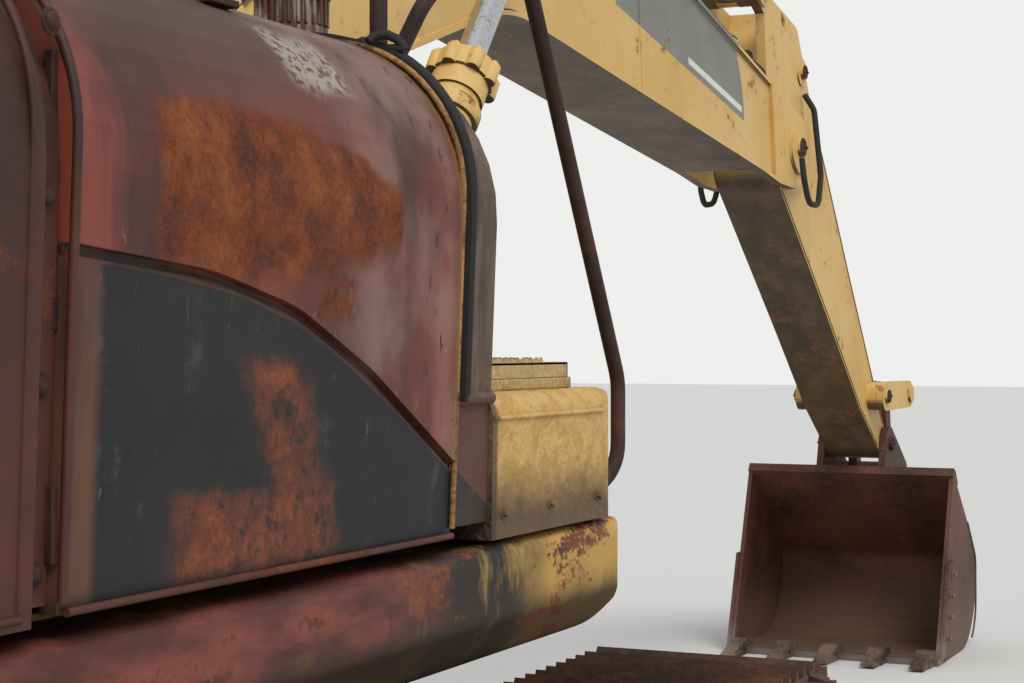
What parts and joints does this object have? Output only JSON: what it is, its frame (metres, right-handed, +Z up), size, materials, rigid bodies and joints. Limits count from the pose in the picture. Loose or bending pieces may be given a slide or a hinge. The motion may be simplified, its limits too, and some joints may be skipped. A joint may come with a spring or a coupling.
{
  "type": "crawler excavator",
  "caption": "Crawler excavator with a bent boom, stick and backhoe bucket, a hinged cab door and rounded engine covers, weathered and scorched.",
  "frame": {"origin": "on the ground under the middle of the machine's bounding box in the rest pose", "axes": "+X forward towards the bucket, +Y to the machine's left, +Z up"},
  "size_m": [11.756, 3.19, 3.8868],
  "materials": {
    "arm_paint": "matt, faded and chipped paint with rust",
    "burnt_paint": "burnt paint gone to red-brown rust",
    "frame_paint": "matt, worn paint with dirt",
    "weight_paint": "satin cast surface, faded",
    "soot_paint": "matt, black with soot",
    "box_paint": "crinkled by heat",
    "track_steel": "rusty, polished on the grousers",
    "cast_parts": "rough, rusty",
    "bucket_steel": "rusty brown steel, worn bright at the lip",
    "tooth_steel": "worn",
    "rod_chrome": "polished",
    "pipe_steel": "dull, rusty",
    "rail_steel": "dark brown rust",
    "seal": "matt, scorched",
    "cab_window": "dusty",
    "cab_plastic": "grained",
    "seat_cloth": "woven",
    "cap_metal": "dull cast"
  },
  "bodies": {
    "undercarriage": {"carbody": "frame_paint", "swing_bearing": "cast_parts", "track_frame_left": "frame_paint", "track_frame_right": "frame_paint", "track_left": "track_steel", "track_right": "track_steel", "sprocket_left": "cast_parts", "sprocket_right": "cast_parts", "idler_left": "cast_parts", "idler_right": "cast_parts", "rollers_left": "cast_parts", "rollers_right": "cast_parts"},
    "upper": {"upper_frame": "frame_paint", "side_skirt_left": "frame_paint", "side_skirt_right": "burnt_paint", "counterweight": "weight_paint", "engine_block": "cast_parts", "engine_housing": "burnt_paint", "door_seal": "seal", "top_cover_right": "burnt_paint", "left_cover": "arm_paint", "fuel_tank": "burnt_paint", "hydraulic_tank": "soot_paint", "filler_cap": "cap_metal", "tool_box": "box_paint", "tread_plates": "box_paint", "valve_block": "cast_parts", "swing_drive": "frame_paint", "exhaust": "burnt_paint", "air_intake": "cab_plastic", "handrail_front": "rail_steel", "cab_shell": "arm_paint", "cab_base": "frame_paint", "cab_side_left": "arm_paint", "cab_side_right": "arm_paint", "cab_glass": "cab_window", "roof_hatch": "arm_paint", "seat": "seat_cloth", "controls": "cab_plastic", "mirror_left": "cab_plastic", "work_lamps": "cab_plastic"},
    "hood": {"engine_hood": "burnt_paint"},
    "pump_cover": {"pump_door": "burnt_paint"},
    "radiator_cover": {"radiator_door": "arm_paint"},
    "cab_entry": {"cab_door": "arm_paint", "door_glass": "cab_window"},
    "boom_arm": {"boom": "arm_paint", "boom_pipes": "pipe_steel"},
    "boom_barrel": {"boom_barrels": "arm_paint"},
    "boom_rod": {"boom_rods": "rod_chrome"},
    "stick_arm": {"stick": "arm_paint"},
    "stick_cylinder": {"stick_barrel": "arm_paint"},
    "stick_piston": {"stick_rod": "rod_chrome"},
    "bucket_cylinder": {"bucket_barrel": "arm_paint"},
    "bucket_piston": {"bucket_rod": "rod_chrome"},
    "idler_pair": {"idler_links": "arm_paint"},
    "link": {"power_link": "bucket_steel"},
    "bucket": {"bucket": "bucket_steel", "bucket_teeth": "tooth_steel"}
  },
  "joints": [
    {"name": "swing", "type": "hinge", "parent": "undercarriage", "child": "upper", "pos_m": [-2.93484, 0, 1], "axis": [0, 0, 1], "continuous": true},
    {"name": "boom_lift", "type": "hinge", "parent": "upper", "child": "boom_arm", "pos_m": [-2.65484, 0, 1.8], "axis": [0, -1, 0], "range_deg": [-40, 38]},
    {"name": "boom_barrel_turn", "type": "hinge", "parent": "upper", "child": "boom_barrel", "pos_m": [-1.80484, 0, 1.27], "axis": [0, -1, 0], "range_deg": [-42, 40]},
    {"name": "boom_rod_slide", "type": "slide", "parent": "boom_barrel", "child": "boom_rod", "axis": [0.6164, 0, 0.7874], "range_m": [-0.615, 0.585]},
    {"name": "stick_crowd", "type": "hinge", "parent": "boom_arm", "child": "stick_arm", "pos_m": [3.41605, 0, 2.78327], "axis": [0, -1, 0], "range_deg": [-100, 20]},
    {"name": "stick_barrel_turn", "type": "hinge", "parent": "boom_arm", "child": "stick_cylinder", "pos_m": [0.39519, 0, 3.79025], "axis": [0, -1, 0], "range_deg": [-3, 1]},
    {"name": "stick_rod_slide", "type": "slide", "parent": "stick_cylinder", "child": "stick_piston", "axis": [0.9948, 0, -0.1019], "range_m": [-0.24, 1.18]},
    {"name": "bucket_curl", "type": "hinge", "parent": "stick_arm", "child": "bucket", "pos_m": [5.39484, 0, 1.21], "axis": [0, -1, 0], "range_deg": [-36, 132]},
    {"name": "bucket_barrel_turn", "type": "hinge", "parent": "stick_arm", "child": "bucket_cylinder", "pos_m": [3.66781, 0, 3.19633], "axis": [0, -1, 0], "range_deg": [-1.3, 4.2]},
    {"name": "bucket_rod_slide", "type": "slide", "parent": "bucket_cylinder", "child": "bucket_piston", "axis": [0.7612, 0, -0.6485], "range_m": [-0.69, 0.2]},
    {"name": "idler_turn", "type": "hinge", "parent": "stick_arm", "child": "idler_pair", "pos_m": [5.07849, 0, 1.49984], "axis": [0, -1, 0], "range_deg": [-22.5, 80.5]},
    {"name": "power_turn", "type": "hinge", "parent": "bucket", "child": "link", "pos_m": [5.73954, 0, 1.00706], "axis": [0, -1, 0], "range_deg": [-107, 30]},
    {"name": "hood_lift", "type": "hinge", "parent": "upper", "child": "hood", "pos_m": [-4.92484, 0, 2.414], "axis": [0, -1, 0], "range_deg": [0, 75]},
    {"name": "pump_door_swing", "type": "hinge", "parent": "upper", "child": "pump_cover", "pos_m": [-3.97484, -1.441, 1.9], "axis": [0, 0, -1], "range_deg": [0, 105]},
    {"name": "radiator_door_swing", "type": "hinge", "parent": "upper", "child": "radiator_cover", "pos_m": [-4.90884, 1.4365, 1.74], "axis": [0, 0, 1], "range_deg": [0, 105]},
    {"name": "cab_door_swing", "type": "hinge", "parent": "upper", "child": "cab_entry", "pos_m": [-2.67484, 1.4025, 2.1], "axis": [0, 0, 1], "range_deg": [0, 110]}
  ],
  "couplings": [
    {"joint": "boom_barrel_turn", "follows": "boom_lift", "ratio": 1.04},
    {"joint": "boom_rod_slide", "follows": "boom_lift", "m_per_rad": 0.87376},
    {"joint": "stick_barrel_turn", "follows": "stick_crowd", "ratio": 0.02},
    {"joint": "stick_rod_slide", "follows": "stick_crowd", "m_per_rad": -0.67322},
    {"joint": "bucket_barrel_turn", "follows": "bucket_curl", "ratio": 0.03},
    {"joint": "bucket_rod_slide", "follows": "bucket_curl", "m_per_rad": -0.29221},
    {"joint": "idler_turn", "follows": "bucket_curl", "ratio": 0.6},
    {"joint": "power_turn", "follows": "bucket_curl", "ratio": -0.8}
  ]
}
